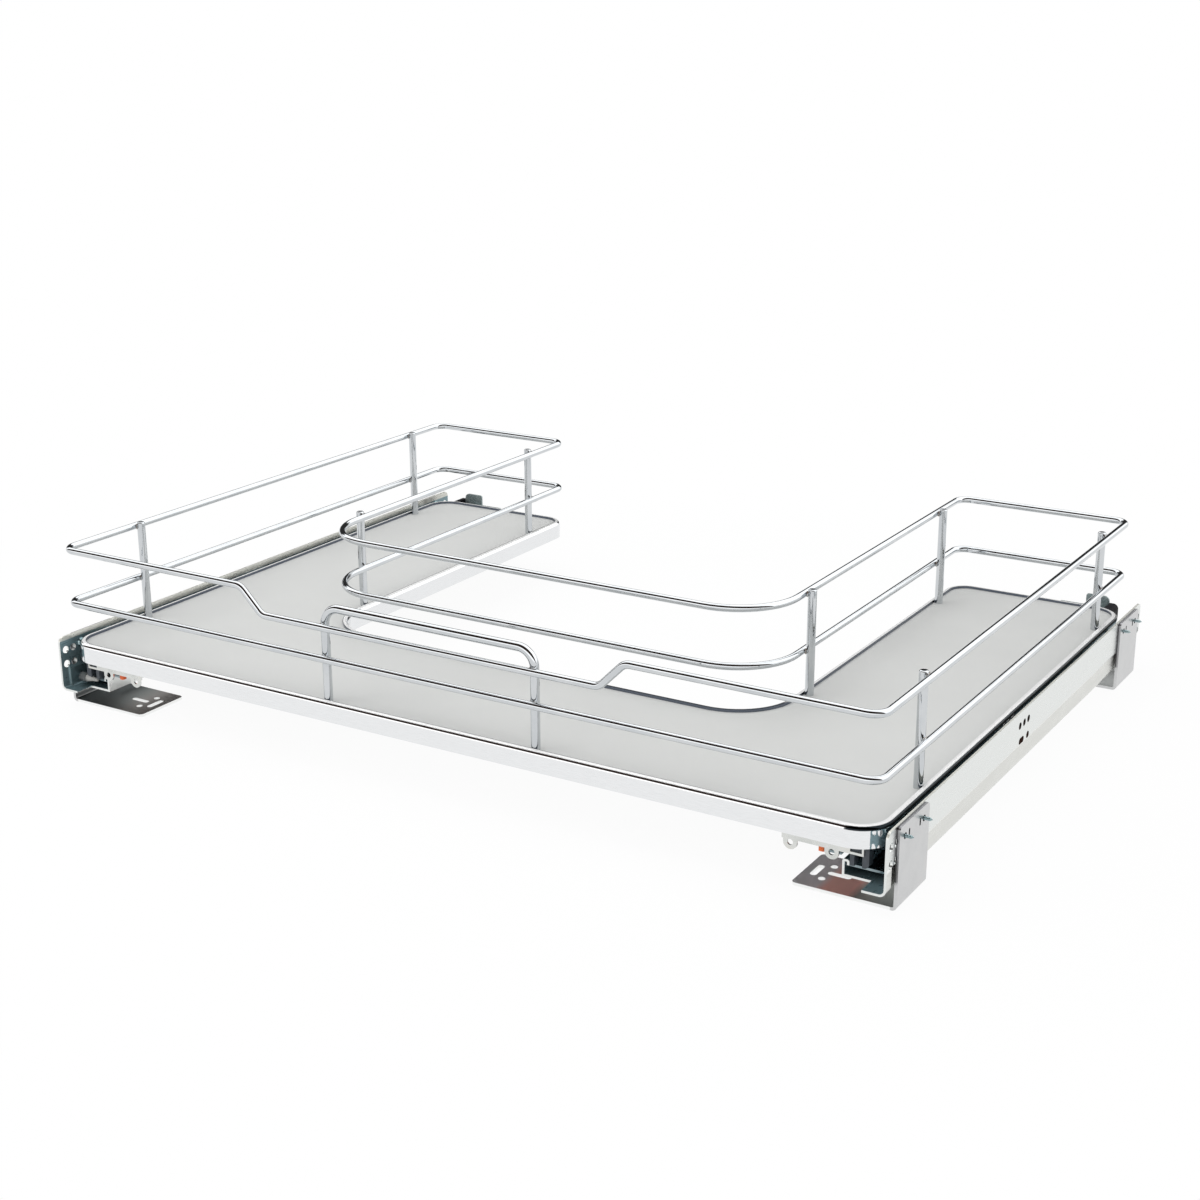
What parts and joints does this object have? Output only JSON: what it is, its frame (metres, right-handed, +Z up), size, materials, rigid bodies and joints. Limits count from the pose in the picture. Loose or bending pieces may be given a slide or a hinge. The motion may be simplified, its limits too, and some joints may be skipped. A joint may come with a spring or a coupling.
{
  "type": "u-shaped vanity pull-out",
  "caption": "U-shaped pull-out tray with wire rails and a hoop handle on concealed full-extension soft-close slides with floor brackets, cut out for sink pipes.",
  "frame": {"origin": "on the cabinet floor under the bracket feet, at the middle of the object's width and depth, tray closed", "axes": "+X to the right across the tray, seen from its front; +Y to the back of the cabinet, so the tray opens towards -Y; +Z up"},
  "size_m": [0.665, 0.482, 0.1235],
  "materials": {
    "board": "satin",
    "band": "polished",
    "wire": "polished",
    "channel": "galvanised",
    "bracket": "zinc plated",
    "screw": "zinc plated",
    "ball": "polished",
    "cage": "moulded",
    "hook": "zinc plated",
    "bumper": "moulded",
    "lock_steel": "zinc plated",
    "lock_plastic": "moulded",
    "lever": "moulded",
    "damper_plastic": "moulded",
    "damper_tube": "satin"
  },
  "bodies": {
    "cabinet_side": {"left_cabinet_profile": "channel", "left_front_bracket": "bracket", "left_rear_bracket": "bracket", "left_bracket_screws": "screw", "left_damper_housing": "damper_plastic", "left_damper_cylinder": "damper_tube", "left_damper_rod": "screw", "left_damper_catch": "damper_plastic", "right_cabinet_profile": "channel", "right_front_bracket": "bracket", "right_rear_bracket": "bracket", "right_bracket_screws": "screw", "right_damper_housing": "damper_plastic", "right_damper_cylinder": "damper_tube", "right_damper_rod": "screw", "right_damper_catch": "damper_plastic"},
    "tray": {"tray_board": "board", "edge_band": "band", "upper_rail": "wire", "lower_rail": "wire", "pull_handle": "wire", "post_screws": "screw", "left_front_post": "wire", "left_rear_post": "wire", "left_gap_post": "wire", "left_arm_rear_post": "wire", "left_drawer_profile": "channel", "left_rear_hook": "hook", "left_rear_bumper": "bumper", "left_lock_plate": "lock_steel", "left_lock_body": "lock_plastic", "left_lock_pin": "screw", "left_lock_screws": "screw", "right_front_post": "wire", "right_rear_post": "wire", "right_gap_post": "wire", "right_arm_rear_post": "wire", "right_drawer_profile": "channel", "right_rear_hook": "hook", "right_rear_bumper": "bumper", "right_lock_plate": "lock_steel", "right_lock_body": "lock_plastic", "right_lock_pin": "screw", "right_lock_screws": "screw"},
    "left_lever": {"left_lock_lever": "lever"},
    "left_middle": {"left_middle_profile": "channel"},
    "left_lower_cage": {"left_lower_cage": "cage", "left_lower_balls": "ball"},
    "left_upper_cage": {"left_upper_cage": "cage", "left_upper_balls": "ball"},
    "right_lever": {"right_lock_lever": "lever"},
    "right_middle": {"right_middle_profile": "channel"},
    "right_lower_cage": {"right_lower_cage": "cage", "right_lower_balls": "ball"},
    "right_upper_cage": {"right_upper_cage": "cage", "right_upper_balls": "ball"}
  },
  "joints": [
    {"name": "tray_slide", "type": "slide", "parent": "cabinet_side", "child": "tray", "axis": [0, -1, 0], "range_m": [0, 0.457]},
    {"name": "left_middle_slide", "type": "slide", "parent": "cabinet_side", "child": "left_middle", "axis": [0, -1, 0], "range_m": [0, 0.2285]},
    {"name": "left_lower_cage_slide", "type": "slide", "parent": "cabinet_side", "child": "left_lower_cage", "axis": [0, -1, 0], "range_m": [0, 0.11425]},
    {"name": "left_upper_cage_slide", "type": "slide", "parent": "cabinet_side", "child": "left_upper_cage", "axis": [0, -1, 0], "range_m": [0, 0.34275]},
    {"name": "left_lever_turn", "type": "hinge", "parent": "tray", "child": "left_lever", "pos_m": [-0.268, -0.2035, 0.0304], "axis": [0, 0, 1], "range_deg": [0, 12], "stiffness_Nm_per_rad": 0.05},
    {"name": "right_middle_slide", "type": "slide", "parent": "cabinet_side", "child": "right_middle", "axis": [0, -1, 0], "range_m": [0, 0.2285]},
    {"name": "right_lower_cage_slide", "type": "slide", "parent": "cabinet_side", "child": "right_lower_cage", "axis": [0, -1, 0], "range_m": [0, 0.11425]},
    {"name": "right_upper_cage_slide", "type": "slide", "parent": "cabinet_side", "child": "right_upper_cage", "axis": [0, -1, 0], "range_m": [0, 0.34275]},
    {"name": "right_lever_turn", "type": "hinge", "parent": "tray", "child": "right_lever", "pos_m": [0.268, -0.2035, 0.0304], "axis": [0, 0, -1], "range_deg": [0, 12], "stiffness_Nm_per_rad": 0.05}
  ],
  "couplings": [
    {"joint": "left_middle_slide", "follows": "tray_slide", "ratio": 0.5},
    {"joint": "left_lower_cage_slide", "follows": "tray_slide", "ratio": 0.25},
    {"joint": "left_upper_cage_slide", "follows": "tray_slide", "ratio": 0.75},
    {"joint": "right_middle_slide", "follows": "tray_slide", "ratio": 0.5},
    {"joint": "right_lower_cage_slide", "follows": "tray_slide", "ratio": 0.25},
    {"joint": "right_upper_cage_slide", "follows": "tray_slide", "ratio": 0.75}
  ]
}
